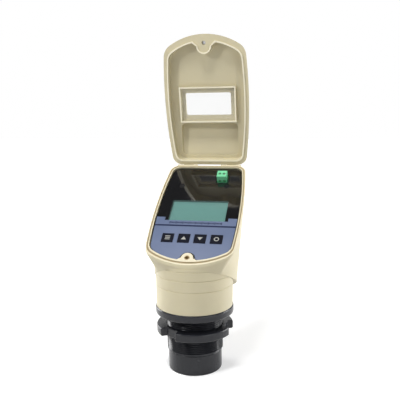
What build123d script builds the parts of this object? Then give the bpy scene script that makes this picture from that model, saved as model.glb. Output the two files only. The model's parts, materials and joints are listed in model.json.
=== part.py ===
"""Ultrasonic level transmitter, in millimetres.

The origin is the centre of the transducer face that the instrument stands on, +Z runs up the thread's
axis and the nose of the sloped face looks along -Y. The lid is drawn open, as it stands at rest.
"""
from build123d import *
from math import atan2, cos, hypot, radians, sin
import os

# Clearances
glue_gap = 0.05
run_gap = 0.08
part_gap = 0.3

# Process end: transducer cup, threaded tube and flange
cup_radius = 28.7
cup_height = 21.0
cup_floor = 1.5
cup_chamfer = 0.6
cup_bore = 22.9
spigot_height = 6.0
thread_radius = 30.0
thread_chamfer = 1.2
relief_width = 2.2
relief_depth = 1.3
tube_bore = 25.0
flange_radius = 41.6
flange_bottom = 61.4
flange_height = 8.2
flange_chamfer = 1.2
neck_step = 0.9
neck_step_height = 0.9

# Transducer stack inside the cup
matching_height = 4.5
piezo_radius = 19.0
piezo_height = 5.0
backing_height = 6.0
potting_height = 6.0
lead_radius = 1.5
lead_shift = 6.0
lead_straight = 34.0
lead_cross = 15.0
lead_bend = 14.0

# Lock nut
nut_bottom = 40.6
nut_height = 9.0
nut_radius = 40.8
nut_ring = 4.0
nut_lobes = 3
nut_notch_floor = 16.0
nut_notch_mouth = 23.0
nut_turn = -32.0
nut_chamfer = 1.0

# Housing: neck and floor
neck_radius = 40.6
neck_top_radius = 41.2
neck_wall = 3.6
floor_height = 4.0
floor_hole = 20.0
ring_heights = [93.3, 104.7, 114.2]
ring_width = 0.8
ring_depth = 0.5
neck_top = 117.0
seal_radius = 29.2
seal_width = 2.0
seal_depth = 1.5
screw_circle = 33.0
screw_count = 4
screw_radius = 1.5
screw_head_radius = 2.8
screw_head_height = 2.0
screw_depth = 6.0

# Housing: sloped face, whose outline also makes the lid
face_slope = 36.0
face_length = 149.0
nose_y = -40.2
nose_z = 122.0
hinge_half = 43.4
nose_half = 46.1
side_bulge = 3.8
nose_rise = 16.4
hinge_round = 11.0
nose_round = 16.0
rise_share = 0.75
round_share = 0.5
nose_lean = 0.4
nose_skirt = 2.4
skirt_drop = 6.0
skirt_taper = 0.3
base_slope = -25.0
base_length = 96.0
base_hinge_half = 30.0
base_nose_half = 33.0
base_bulge = 12.0
base_rise = 16.0
base_round = 14.0
shell_wall = 3.6
skirt_wall = 2.8

# Rim of the sloped face
rim_side = 3.4
rim_nose = 6.0
rim_hinge = 3.0
groove_inset = 1.0
groove_width = 1.4
groove_nose_extra = 0.8
groove_depth = 1.6
gasket_height = 1.0

# Boss for the lid screw
boss_y = 9.5
boss_radius = 6.2
boss_flare = 12.0
boss_shoulder = 5.0
boss_depth = 16.0
insert_radius = 2.9
insert_bore = 2.1
insert_length = 9.0

# Front panel and its openings
panel_depth = 2.0
panel_thick = 2.5
panel_boss_gap = 1.8
panel_shoulder = 7.0
display_width = 62.0
display_height = 30.5
display_y = 77.0
display_round = 1.0
cover_thick = 1.5
overlay_thick = 0.4
overlay_top = 66.0
overlay_lip = 3.5
key_width = 12.5
key_height = 12.0
key_pitch = 17.3
key_y = 36.2
key_proud = 0.5
key_gap = 0.2
key_flange = 0.7
key_flange_thick = 0.8
key_travel = 0.3
key_round = 0.6
post_x = 26.0
post_back = 33.0
post_radius = 3.5
post_screw_radius = 1.4
post_screw_depth = 8.0
sink_radius = 3.4
sink_depth = 1.2
cross_margin = 1.3
ledge_x = 43.0
ledge_width = 10.0
ledge_length = 12.0
ledge_depth = 8.0
ledge_low = 32.0
ledge_back = 69.0

# Display board and what it carries
board_depth = 10.0
board_thick = 1.6
board_half = 36.0
board_low = 27.0
board_back = 15.0
board_round = 8.0
glass_margin = 2.5
glass_trim = 0.5
glass_thick = 1.8
standoff_x = 32.5
standoff_low = 53.0
standoff_back = 49.0
standoff_radius = 2.5
board_screw_radius = 1.0
board_screw_head = 2.0
board_screw_length = 5.0
switch_size = 6.0
switch_height = 3.2
plunger_radius = 1.7
plunger_top = 4.0
plunger_length = 3.0
terminal_x = 19.5
terminal_width = 11.0
terminal_back = 20.5
terminal_length = 10.0
terminal_top = 6.0
terminal_gap = 1.6
terminal_ways = 2
terminal_pitch = 5.08
wire_way = 3.6
wire_way_height = 3.6
wire_way_drop = 9.0
clamp_screw_radius = 1.5
clamp_screw_drop = 1.2
clamp_thick = 1.2
way_depth = 8.0

# Power board in the neck
power_radius = 33.0
power_height = 82.0
power_thick = 1.6
power_posts = 3
power_post_circle = 27.0
power_post_radius = 3.0
lead_socket = [9.0, 6.0, 5.0]
transformer_size = [20.0, 17.0, 15.0]
transformer_place = (10.0, 0.0)
transformer_edge = 1.5
core_width = 12.0
core_height = 2.0
capacitor_radius = 5.0
capacitor_height = 13.0
capacitor_edge = 0.6
capacitor_places = [(-15.0, -11.0), (-20.0, 1.0), (-5.0, -17.0)]
ribbon_width = 12.7
ribbon_thick = 0.9
ribbon_socket = [16.0, 6.0, 6.0]
ribbon_y = 12.0
ribbon_board_y = 62.0
ribbon_lead = 9.0
ribbon_bend = 5.0

# Lid
lid_open = 114.0
lid_gap = 0.3
lid_height = 12.5
lid_taper = 4.5
lid_top_wall = 2.5
lid_round = 3.0
skirt_thick = 1.5
skirt_depth = 1.5
skirt_hinge = 1.2
notch_radius = 6.9
notch_y = 12.9
notch_flare = 13.6
notch_shoulder = 6.4
hump_front = 53.0
hump_back = 3.0
hump_half = 38.5
hump_height = 19.0
hump_tilt = 12.0
hump_taper = 3.0
hump_round = 8.0
hump_wall = 2.6
hump_sink = 4.0
pocket_flare = 1.0
window_width = 53.0
window_height = 26.0
window_y = 78.8
window_round = 2.0
frame_width = 66.0
frame_height = 41.0
frame_rib = 1.6
frame_rise = 5.0
pane_thick = 2.0
pane_gap = 0.3

# Hinge
hinge_back = 1.8
hinge_drop = 3.8
hinge_relief = 0.4
pin_radius = 1.1
ear_x = 26.0
ear_width = 11.4
ear_radius = 2.6
lug_width = 6.0
lug_radius = 2.8
gusset_height = 7.0
lug_seat = 0.8

# Lid screw
lid_screw_radius = 2.0
lid_screw_hole = 2.2
lid_screw_head = 4.0
lid_screw_head_height = 2.6
lid_screw_seat = 8.0
lid_screw_seal = 0.8
lid_screw_tip = 0.8
lid_screw_backed = 3.0
lid_screw_edge = 0.5
slot_width = 1.0
slot_depth = 1.2

# Cable gland on the back wall
gland_drop = 55.0
gland_radius = 8.0
gland_bore = 5.5
gland_inside = 9.0
gland_seat = 3.5
gland_flange = 5.0
gland_across = 20.0
gland_stub = 9.0
gland_gasket = 1.2
gland_pad = 13.0
seal_bore = 4.0
seal_outer = 6.1
seal_length = 8.0
dome_height = 14.0
dome_opening = 5.2
dome_round = 3.3
dome_roof = 3.5
gland_nut_height = 4.0

# Planes and places worked out from the sizes above
slope = radians(face_slope)
face_plane = Plane(
    origin=(0, nose_y, nose_z), x_dir=(1, 0, 0), z_dir=(0, -sin(slope), cos(slope))
)


def face_point(along, above=0.0):
    """World Y and Z of a point on the face's middle line, above the rim by a height."""
    y = nose_y + along * cos(slope) - above * sin(slope)
    z = nose_z + along * sin(slope) + above * cos(slope)
    return y, z


flange_top = flange_bottom + flange_height
floor_top = flange_top + floor_height
nut_bore = thread_radius + run_gap

hinge_y, hinge_z = face_point(face_length + hinge_back, -hinge_drop)
hinge_turn = Location((0, hinge_y, hinge_z), (-lid_open, 0, 0)) * Location((0, -hinge_y, -hinge_z))
lid_plane = Plane(hinge_turn * face_plane.location)

skirt_start = (nose_y - nose_lean, nose_z - nose_skirt)
skirt_end = face_point(face_length, -skirt_drop)
skirt_slope = atan2(skirt_end[1] - skirt_start[1], skirt_end[0] - skirt_start[0])
skirt_length = hypot(skirt_end[0] - skirt_start[0], skirt_end[1] - skirt_start[1])
skirt_plane = Plane(
    origin=(0, *skirt_start), x_dir=(1, 0, 0), z_dir=(0, -sin(skirt_slope), cos(skirt_slope))
)

base_turn = radians(base_slope)
base_start = (-neck_radius, neck_top)
base_end = (
    base_start[0] + base_length * cos(base_turn),
    base_start[1] + base_length * sin(base_turn),
)
base_plane = Plane(
    origin=(0, *base_start), x_dir=(1, 0, 0), z_dir=(0, -sin(base_turn), cos(base_turn))
)

back_slope = atan2(skirt_end[1] - base_end[1], skirt_end[0] - base_end[0])
gland_y = skirt_end[0] - gland_drop * cos(back_slope)
gland_z = skirt_end[1] - gland_drop * sin(back_slope)
gland_plane = Plane(
    origin=(0, gland_y, gland_z), x_dir=(1, 0, 0), z_dir=(0, sin(back_slope), -cos(back_slope))
)

panel_under = panel_depth + panel_thick
glass_under = panel_under + glass_thick
switch_top = board_depth - switch_height
plunger_face = board_depth - plunger_top
key_centres = [(key_pitch * (i - 1.5), key_y) for i in range(4)]
post_y = face_length - post_back
post_centres = [(-post_x, post_y), (post_x, post_y)]
ledge_places = (ledge_low, face_length - ledge_back)
standoff_places = (standoff_low, face_length - standoff_back)
standoffs = [(side * standoff_x, y) for side in (-1, 1) for y in standoff_places]
board_high = face_length - board_back
terminal_y = face_length - terminal_back


def draw_shield(foot, top, top_half, low_half, corner_y, bulge, top_round, low_round):
    """Face outline: straight at the hinge, bowed sides and a rounded nose at the low end."""
    middle = ((top_half + low_half) / 2 + bulge, (top + corner_y) / 2)
    with BuildLine() as outline:
        Line((-top_half, top), (top_half, top))
        ThreePointArc((top_half, top), middle, (low_half, corner_y))
        ThreePointArc((low_half, corner_y), (0, foot), (-low_half, corner_y))
        ThreePointArc((-low_half, corner_y), (-middle[0], middle[1]), (-top_half, top))
    make_face(outline.edges())
    fillet(vertices().group_by(Axis.Y)[-1], top_round)
    fillet(vertices().sort_by(Axis.Y)[0:2], low_round)


def draw_face(side=0.0, nose=0.0, hinge=0.0):
    """The face's outline, set in at its sides, nose and hinge edge."""
    draw_shield(
        nose,
        face_length - hinge,
        hinge_half - side,
        nose_half - side,
        nose_rise + rise_share * nose,
        side_bulge,
        hinge_round - round_share * side,
        nose_round - side,
    )


def draw_skirt(inset=0.0):
    """Section of the head a little below its face, where the back wall starts to lean."""
    inner = inset > 0
    draw_shield(
        rim_nose if inner else 0.0,
        skirt_length - (rim_hinge if inner else 0.0),
        hinge_half - skirt_taper - inset,
        nose_half - skirt_taper - inset,
        nose_rise + (rise_share * rim_nose if inner else 0.0),
        side_bulge,
        hinge_round - round_share * inset,
        nose_round - inset,
    )


def draw_base(inset=0.0):
    """Section of the head at its lower edge, where it meets the neck."""
    draw_shield(
        inset,
        base_length - inset,
        base_hinge_half - inset,
        base_nose_half - inset,
        base_rise + rise_share * inset,
        base_bulge,
        base_round,
        base_round,
    )


def draw_boss(radius, centre_y, flare, shoulder):
    """Rounded tab that reaches from the nose to the lid screw's axis, flared at its root."""
    with Locations((0, centre_y)):
        Circle(radius)
    with BuildLine() as root:
        Polyline(
            (-flare, 0), (flare, 0), (flare, shoulder), (radius, centre_y),
            (-radius, centre_y), (-flare, shoulder), close=True,
        )
    make_face(root.edges())


os.makedirs("parts", exist_ok=True)


def save(part, name):
    """Label one finished piece and write it under its own name."""
    part.label = name
    export_step(part, f"parts/{name}.step")


# Process connection: flange, thread relief and threaded tube
with BuildPart() as process_body:
    with BuildSketch(Plane.XZ):
        with BuildLine():
            Polyline(
                (tube_bore, cup_height),
                (thread_radius - thread_chamfer, cup_height),
                (thread_radius, cup_height + thread_chamfer),
                (thread_radius, flange_bottom - relief_width - relief_depth),
                (thread_radius - relief_depth, flange_bottom - relief_width),
                (thread_radius - relief_depth, flange_bottom),
                (flange_radius - flange_chamfer, flange_bottom),
                (flange_radius, flange_bottom + flange_chamfer),
                (flange_radius, flange_top - neck_step_height),
                (flange_radius - neck_step, flange_top),
                (tube_bore, flange_top),
                close=True,
            )
        make_face()
    revolve(axis=Axis.Z)
    with BuildSketch(Plane.XY.offset(flange_top)):
        Circle(seal_radius + seal_width / 2)
        Circle(seal_radius - seal_width / 2, mode=Mode.SUBTRACT)
    extrude(amount=-seal_depth, mode=Mode.SUBTRACT)
    with Locations(Plane.XY.offset(flange_top)):
        with PolarLocations(screw_circle, screw_count, start_angle=45):
            Hole(screw_radius + glue_gap, depth=screw_depth + part_gap)
save(process_body.part, "process_body")

with BuildPart() as housing_seal:
    with BuildSketch(Plane.XY.offset(flange_top - seal_depth)):
        Circle(seal_radius + seal_width / 2 - glue_gap)
        Circle(seal_radius - seal_width / 2 + glue_gap, mode=Mode.SUBTRACT)
    extrude(amount=seal_depth)
save(housing_seal.part, "housing_seal")

with BuildPart() as flange_screws:
    with Locations(Plane.XY.offset(floor_top)):
        with PolarLocations(screw_circle, screw_count, start_angle=45):
            Cylinder(
                screw_radius, floor_height + screw_depth,
                align=(Align.CENTER, Align.CENTER, Align.MAX),
            )
            Cylinder(
                screw_head_radius, screw_head_height,
                align=(Align.CENTER, Align.CENTER, Align.MIN),
            )
save(flange_screws.part, "flange_screws")

# Transducer cup with its thin radiating face
with BuildPart() as transducer_cup:
    with BuildSketch(Plane.XZ):
        with BuildLine():
            Polyline(
                (0, 0),
                (cup_radius - cup_chamfer, 0),
                (cup_radius, cup_chamfer),
                (cup_radius, cup_height),
                (tube_bore - glue_gap, cup_height),
                (tube_bore - glue_gap, cup_height + spigot_height),
                (cup_bore, cup_height + spigot_height),
                (cup_bore, cup_floor),
                (0, cup_floor),
                close=True,
            )
        make_face()
    revolve(axis=Axis.Z)
save(transducer_cup.part, "transducer_cup")

stack_radius = cup_bore - glue_gap
piezo_base = cup_floor + matching_height
backing_base = piezo_base + piezo_height
potting_base = backing_base + backing_height

with BuildPart() as matching_layer:
    with BuildSketch(Plane.XY.offset(cup_floor)):
        Circle(stack_radius)
    extrude(amount=matching_height)
save(matching_layer.part, "matching_layer")

with BuildPart() as piezo_disc:
    with BuildSketch(Plane.XY.offset(piezo_base)):
        Circle(piezo_radius)
    extrude(amount=piezo_height)
save(piezo_disc.part, "piezo_disc")

with BuildPart() as damping_ring:
    with BuildSketch(Plane.XY.offset(piezo_base)):
        Circle(stack_radius)
        Circle(piezo_radius + glue_gap, mode=Mode.SUBTRACT)
    extrude(amount=piezo_height + backing_height)
save(damping_ring.part, "damping_ring")

with BuildPart() as backing_disc:
    with BuildSketch(Plane.XY.offset(backing_base)):
        Circle(piezo_radius)
        Circle(lead_radius + glue_gap, mode=Mode.SUBTRACT)
    extrude(amount=backing_height)
save(backing_disc.part, "backing_disc")

with BuildPart() as potting:
    with BuildSketch(Plane.XY.offset(potting_base)):
        Circle(stack_radius)
        Circle(lead_radius + glue_gap, mode=Mode.SUBTRACT)
    extrude(amount=potting_height)
save(potting.part, "potting")

# Lead from the piezo disc up to the socket under the power board
lead_top = power_height - lead_socket[2]
lead_turn = backing_base + lead_straight
with BuildPart() as transducer_lead:
    with BuildLine():
        FilletPolyline(
            (0, 0, backing_base),
            (0, 0, lead_turn),
            (lead_shift, 0, lead_turn + lead_cross),
            (lead_shift, 0, lead_top),
            radius=lead_bend,
        )
    with BuildSketch(Plane.XY.offset(backing_base)):
        Circle(lead_radius)
    sweep()
save(transducer_lead.part, "transducer_lead")

# Lock nut: threaded ring with three wide lobes
with BuildPart() as lock_nut:
    with BuildSketch(Plane.XY.offset(nut_bottom)):
        Circle(nut_radius)
    extrude(amount=nut_height)
    chamfer(edges().filter_by(GeomType.CIRCLE), nut_chamfer)
    notch_floor = nut_bore + nut_ring
    notch_rim = nut_radius + nut_chamfer
    with BuildSketch(Plane.XY.offset(nut_bottom)):
        with PolarLocations(0, nut_lobes, start_angle=nut_turn - 90):
            Polygon(
                (notch_floor, -nut_notch_floor / 2),
                (notch_rim, -nut_notch_mouth / 2),
                (notch_rim, nut_notch_mouth / 2),
                (notch_floor, nut_notch_floor / 2),
                align=None,
            )
        Circle(nut_bore)
    extrude(amount=nut_height, mode=Mode.SUBTRACT)
save(lock_nut.part, "lock_nut")

# Outer form of the head, kept to trim the housing's inner posts and ledges
with BuildPart() as head_form:
    with BuildSketch(face_plane):
        draw_face()
    with BuildSketch(skirt_plane):
        draw_skirt()
    with BuildSketch(base_plane):
        draw_base()
    loft(ruled=True)

with BuildPart() as head_cavity:
    with BuildSketch(face_plane):
        draw_face(rim_side, rim_nose, rim_hinge)
    with BuildSketch(skirt_plane):
        draw_skirt(skirt_wall)
    with BuildSketch(base_plane.offset(shell_wall)):
        draw_base(shell_wall)
    loft(ruled=True)

with BuildPart() as head_inside:
    seat = face_plane.offset(-panel_under)
    with BuildSketch(seat):
        with Locations(*post_centres):
            Circle(post_radius)
    extrude(amount=-face_length)
    with BuildSketch(seat):
        for side in (-1, 1):
            with Locations(*[(side * ledge_x, y) for y in ledge_places]):
                Rectangle(ledge_width, ledge_length)
    extrude(amount=-ledge_depth)
    with BuildSketch(face_plane):
        draw_boss(boss_radius, boss_y, boss_flare, boss_shoulder)
    extrude(amount=-boss_depth)
    with BuildSketch(gland_plane):
        Circle(gland_pad)
    extrude(amount=-gland_seat)
    add(head_form.part, mode=Mode.INTERSECT)


def neck_at(height):
    """Radius of the neck at a height: it widens a little towards the head."""
    share = (height - flange_top) / (neck_top - flange_top)
    return neck_radius + share * (neck_top_radius - neck_radius)


# Housing: neck with its rings, floor, sloped head, rim, boss and hinge lugs
with BuildPart() as housing:
    with BuildSketch(Plane.XZ):
        with BuildLine():
            profile = [(0, flange_top), (neck_radius, flange_top)]
            for height in ring_heights:
                edge = neck_at(height)
                profile += [
                    (edge, height - ring_width / 2),
                    (edge - ring_depth, height),
                    (edge, height + ring_width / 2),
                ]
            profile += [(neck_top_radius, neck_top), (0, neck_top)]
            Polyline(*profile, close=True)
        make_face()
    revolve(axis=Axis.Z)
    add(head_form.part)
    with BuildSketch(Plane.XY.offset(floor_top)):
        Circle(neck_radius - neck_wall)
    extrude(amount=neck_top - floor_top - neck_wall, mode=Mode.SUBTRACT)
    add(head_cavity.part, mode=Mode.SUBTRACT)
    add(head_inside.part)
    # floor: lead hole, screw holes and posts of the power board
    with Locations(Plane.XY.offset(floor_top)):
        Hole(floor_hole, depth=floor_height)
        with PolarLocations(screw_circle, screw_count, start_angle=45):
            Hole(screw_radius + glue_gap, depth=floor_height)
    with BuildSketch(Plane.XY.offset(floor_top)):
        with PolarLocations(power_post_circle, power_posts, start_angle=90):
            Circle(power_post_radius)
    extrude(amount=power_height - floor_top)
    with Locations(Plane.XY.offset(power_height)):
        with PolarLocations(power_post_circle, power_posts, start_angle=90):
            Hole(board_screw_radius + glue_gap, depth=board_screw_length)
    # holes for the brass insert and the panel screws
    with BuildSketch(face_plane):
        with Locations((0, boss_y)):
            Circle(insert_radius + glue_gap)
    extrude(amount=-insert_length - part_gap, mode=Mode.SUBTRACT)
    with BuildSketch(face_plane.offset(-panel_under)):
        with Locations(*post_centres):
            Circle(post_screw_radius + glue_gap)
    extrude(amount=-post_screw_depth - part_gap, mode=Mode.SUBTRACT)
    # cable gland hole, spot-faced inside for the gland's lock nut
    with BuildSketch(gland_plane):
        Circle(gland_radius + glue_gap)
    extrude(amount=-gland_inside, mode=Mode.SUBTRACT)
    with BuildSketch(gland_plane.offset(-gland_seat)):
        Circle(gland_pad)
    extrude(amount=-gland_inside, mode=Mode.SUBTRACT)
    # relief in the back wall where the lid's ears turn
    for side in (-1, 1):
        ear_origin = face_plane.from_local_coords((side * ear_x, 0, 0))
        with BuildSketch(Plane(origin=ear_origin, x_dir=face_plane.y_dir, z_dir=(1, 0, 0))):
            pin_y = face_length + hinge_back
            with Locations((pin_y, -hinge_drop)):
                Circle(ear_radius + hinge_relief)
        extrude(amount=ear_width / 2 + part_gap, both=True, mode=Mode.SUBTRACT)
    # hinge lugs on the back wall, a pair on each side of each lid ear
    lug_root = face_point(face_length - rim_hinge / 2, -hinge_drop)
    gusset_foot = (
        skirt_end[0] - gusset_height * cos(back_slope) - lug_seat,
        skirt_end[1] - gusset_height * sin(back_slope),
    )
    for side in (-1, 1):
        for edge in (-1, 1):
            centre = side * ear_x + edge * (ear_width / 2 + part_gap + lug_width / 2)
            with BuildSketch(Plane.YZ.offset(centre)):
                with Locations((hinge_y, hinge_z)):
                    Circle(lug_radius)
                with BuildLine():
                    Polyline(
                        lug_root,
                        (hinge_y + lug_radius, hinge_z),
                        gusset_foot,
                        close=True,
                    )
                make_face()
                with Locations((hinge_y, hinge_z)):
                    Circle(pin_radius + glue_gap, mode=Mode.SUBTRACT)
            extrude(amount=lug_width / 2, both=True)
    # groove round the rim for the lid gasket
    with BuildSketch(face_plane):
        draw_face(groove_inset, groove_inset + groove_nose_extra, groove_inset)
        with BuildSketch(Plane.XY, mode=Mode.SUBTRACT):
            draw_face(
                groove_inset + groove_width,
                groove_inset + groove_width + 2 * groove_nose_extra,
                groove_inset + groove_width,
            )
    extrude(amount=-groove_depth, mode=Mode.SUBTRACT)
save(housing.part, "housing")

with BuildPart() as hinge_pins:
    for side in (-1, 1):
        with BuildSketch(Plane.YZ.offset(side * ear_x)):
            with Locations((hinge_y, hinge_z)):
                Circle(pin_radius)
        extrude(amount=ear_width / 2 + part_gap + lug_width, both=True)
save(hinge_pins.part, "hinge_pins")

with BuildPart() as lid_gasket:
    with BuildSketch(face_plane.offset(-groove_depth)):
        draw_face(
            groove_inset + glue_gap,
            groove_inset + groove_nose_extra + glue_gap,
            groove_inset + glue_gap,
        )
        with BuildSketch(Plane.XY, mode=Mode.SUBTRACT):
            draw_face(
                groove_inset + groove_width - glue_gap,
                groove_inset + groove_width + 2 * groove_nose_extra - glue_gap,
                groove_inset + groove_width - glue_gap,
            )
    extrude(amount=gasket_height)
save(lid_gasket.part, "lid_gasket")

with BuildPart() as screw_insert:
    with BuildSketch(face_plane):
        with Locations((0, boss_y)):
            Circle(insert_radius)
            Circle(insert_bore, mode=Mode.SUBTRACT)
    extrude(amount=-insert_length)
save(screw_insert.part, "screw_insert")

# Front panel with its openings, and the standoffs under it
panel_edge = rim_side + 3 * part_gap
panel_notch = boss_radius + panel_boss_gap
with BuildPart() as front_panel:
    with BuildSketch(face_plane.offset(-panel_depth)):
        draw_face(panel_edge, rim_nose + 2 * part_gap, rim_hinge + part_gap)
        with BuildSketch(Plane.XY, mode=Mode.SUBTRACT):
            draw_boss(panel_notch, boss_y, boss_flare + panel_boss_gap, panel_shoulder)
        with Locations((0, display_y)):
            RectangleRounded(display_width, display_height, display_round, mode=Mode.SUBTRACT)
        with Locations(*key_centres):
            RectangleRounded(
                key_width + 2 * key_gap, key_height + 2 * key_gap, key_round, mode=Mode.SUBTRACT
            )
        with Locations((terminal_x, terminal_y)):
            RectangleRounded(
                terminal_width + 2 * terminal_gap, terminal_length + 2 * terminal_gap,
                key_round, mode=Mode.SUBTRACT,
            )
        with Locations(*post_centres):
            Circle(post_screw_radius + run_gap, mode=Mode.SUBTRACT)
    extrude(amount=-panel_thick)
    with BuildSketch(face_plane.offset(-panel_depth)):
        with Locations(*post_centres):
            Circle(sink_radius)
    extrude(amount=-sink_depth, mode=Mode.SUBTRACT)
    with BuildSketch(face_plane.offset(-panel_under)):
        with Locations(*standoffs):
            Circle(standoff_radius)
            Circle(board_screw_radius + glue_gap, mode=Mode.SUBTRACT)
    extrude(amount=panel_under - board_depth)
save(front_panel.part, "front_panel")

with BuildPart() as panel_screws:
    with BuildSketch(face_plane.offset(-panel_depth - sink_depth)):
        with Locations(*post_centres):
            Circle(post_screw_radius)
    extrude(amount=sink_depth - panel_thick - post_screw_depth)
    with BuildSketch(face_plane.offset(-panel_depth - sink_depth)):
        with Locations(*post_centres):
            Circle(sink_radius - part_gap)
    extrude(amount=sink_depth - part_gap)
    with BuildSketch(face_plane.offset(-panel_depth - part_gap)):
        with Locations(*post_centres):
            Rectangle(2 * (sink_radius - cross_margin), slot_width)
            Rectangle(slot_width, 2 * (sink_radius - cross_margin))
    extrude(amount=-slot_width / 2, mode=Mode.SUBTRACT)
save(panel_screws.part, "panel_screws")

with BuildPart() as display_window:
    with BuildSketch(face_plane.offset(-panel_depth)):
        with Locations((0, display_y)):
            RectangleRounded(
                display_width - 2 * glue_gap, display_height - 2 * glue_gap, display_round
            )
    extrude(amount=-cover_thick)
save(display_window.part, "display_window")

# Keypad film: covers the low end of the panel and wraps the display's lower corners
overlay_edge = panel_edge + part_gap
with BuildPart() as keypad_overlay:
    with BuildSketch(face_plane.offset(-panel_depth)):
        draw_face(overlay_edge, rim_nose + 3 * part_gap, rim_hinge + 2 * part_gap)
        with BuildSketch(Plane.XY, mode=Mode.SUBTRACT):
            draw_boss(panel_notch, boss_y, boss_flare + panel_boss_gap, panel_shoulder)
        with Locations((0, overlay_top)):
            Rectangle(
                3 * nose_half, face_length, align=(Align.CENTER, Align.MIN), mode=Mode.SUBTRACT
            )
        with Locations((0, display_y)):
            Rectangle(
                display_width + 2 * overlay_lip, display_height + 2 * part_gap, mode=Mode.SUBTRACT
            )
        with Locations(*key_centres):
            RectangleRounded(
                key_width + 2 * key_gap, key_height + 2 * key_gap, key_round, mode=Mode.SUBTRACT
            )
    extrude(amount=overlay_thick)
save(keypad_overlay.part, "keypad_overlay")

# Keys, each with the plunger of the switch that it presses
key_face = panel_depth - overlay_thick - key_proud
flange_face = panel_under + part_gap
for name, centre in zip(("menu", "up", "down", "enter"), key_centres):
    with BuildPart() as key:
        with BuildSketch(face_plane.offset(-key_face)):
            with Locations(centre):
                RectangleRounded(key_width, key_height, key_round)
        extrude(amount=key_face - flange_face)
        chamfer(faces().sort_by(Axis((0, 0, 0), face_plane.z_dir))[-1].edges(), key_gap)
        with BuildSketch(face_plane.offset(-flange_face)):
            with Locations(centre):
                Rectangle(key_width + 2 * key_flange, key_height + 2 * key_flange)
        extrude(amount=-key_flange_thick)
        with BuildSketch(face_plane.offset(-flange_face - key_flange_thick)):
            with Locations(centre):
                Circle(plunger_radius)
        extrude(amount=flange_face + key_flange_thick - plunger_face)
    save(key.part, f"{name}_key")
    with BuildPart() as plunger:
        with BuildSketch(face_plane.offset(-plunger_face)):
            with Locations(centre):
                Circle(plunger_radius)
        extrude(amount=-plunger_length)
    save(plunger.part, f"{name}_plunger")

with BuildPart() as switch_cases:
    with BuildSketch(face_plane.offset(-board_depth)):
        with Locations(*key_centres):
            Rectangle(switch_size, switch_size)
    extrude(amount=switch_height)
    with BuildSketch(face_plane.offset(-switch_top)):
        with Locations(*key_centres):
            Circle(plunger_radius + run_gap)
    plunger_well = plunger_length - (plunger_top - switch_height) + key_travel
    extrude(amount=-plunger_well, mode=Mode.SUBTRACT)
save(switch_cases.part, "switch_cases")

# Display glass, backlight and board
with BuildPart() as lcd_glass:
    with BuildSketch(face_plane.offset(-panel_under)):
        with Locations((0, display_y)):
            Rectangle(display_width - 2 * glass_trim, display_height + 2 * glass_margin)
    extrude(amount=-glass_thick)
save(lcd_glass.part, "lcd_glass")

with BuildPart() as lcd_backlight:
    with BuildSketch(face_plane.offset(-glass_under)):
        with Locations((0, display_y)):
            Rectangle(display_width - 4 * glass_trim, display_height + glass_margin)
    extrude(amount=glass_under - board_depth)
save(lcd_backlight.part, "lcd_backlight")

with BuildPart() as display_board:
    with BuildSketch(face_plane.offset(-board_depth)):
        with Locations((0, (board_low + board_high) / 2)):
            RectangleRounded(2 * board_half, board_high - board_low, board_round)
        with Locations(*post_centres):
            Circle(post_radius + part_gap, mode=Mode.SUBTRACT)
        with Locations(*standoffs):
            Circle(board_screw_radius + glue_gap, mode=Mode.SUBTRACT)
    extrude(amount=-board_thick)
save(display_board.part, "display_board")

with BuildPart() as board_screws:
    board_under = face_plane.offset(-board_depth - board_thick)
    with BuildSketch(board_under):
        with Locations(*standoffs):
            Circle(board_screw_radius)
    extrude(amount=board_screw_length)
    with BuildSketch(board_under):
        with Locations(*standoffs):
            Circle(board_screw_head)
    extrude(amount=-board_screw_radius)
    with Locations(Plane.XY.offset(power_height + power_thick)):
        with PolarLocations(power_post_circle, power_posts, start_angle=90):
            Cylinder(
                board_screw_radius, board_screw_length,
                align=(Align.CENTER, Align.CENTER, Align.MAX),
            )
            Cylinder(
                board_screw_head, board_screw_radius,
                align=(Align.CENTER, Align.CENTER, Align.MIN),
            )
save(board_screws.part, "board_screws")

# Two-way terminal block on the display board, its wire ways towards the nose
way_centres = [
    terminal_x + terminal_pitch * (i - (terminal_ways - 1) / 2) for i in range(terminal_ways)
]
terminal_front = terminal_y - terminal_length / 2
way_floor = terminal_top - wire_way_drop
with BuildPart() as terminal_block:
    with BuildSketch(face_plane.offset(-board_depth)):
        with Locations((terminal_x, terminal_y)):
            Rectangle(terminal_width, terminal_length)
    extrude(amount=board_depth + terminal_top)
    # wire ways from the front face, and screw wells from the top
    with BuildSketch(face_plane.offset(way_floor)):
        with Locations(*[(x, terminal_front) for x in way_centres]):
            Rectangle(wire_way, 2 * way_depth)
    extrude(amount=wire_way_height, mode=Mode.SUBTRACT)
    with BuildSketch(face_plane.offset(terminal_top)):
        with Locations(*[(x, terminal_y) for x in way_centres]):
            Circle(clamp_screw_radius + run_gap)
    extrude(amount=-wire_way_drop + wire_way_height / 2, mode=Mode.SUBTRACT)
save(terminal_block.part, "terminal_block")

with BuildPart() as terminal_clamps:
    with BuildSketch(face_plane.offset(way_floor)):
        with Locations(*[(x, terminal_y) for x in way_centres]):
            Rectangle(wire_way - 2 * glue_gap, wire_way)
    extrude(amount=clamp_thick)
save(terminal_clamps.part, "terminal_clamps")

with BuildPart() as terminal_screws:
    with BuildSketch(face_plane.offset(terminal_top - clamp_screw_drop)):
        with Locations(*[(x, terminal_y) for x in way_centres]):
            Circle(clamp_screw_radius)
    extrude(amount=clamp_screw_drop + clamp_thick + part_gap - wire_way_drop)
    with BuildSketch(face_plane.offset(terminal_top - clamp_screw_drop)):
        with Locations(*[(x, terminal_y) for x in way_centres]):
            Rectangle(2 * wire_way, slot_width / 2)
    extrude(amount=-slot_width / 2, mode=Mode.SUBTRACT)
save(terminal_screws.part, "terminal_screws")

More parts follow.
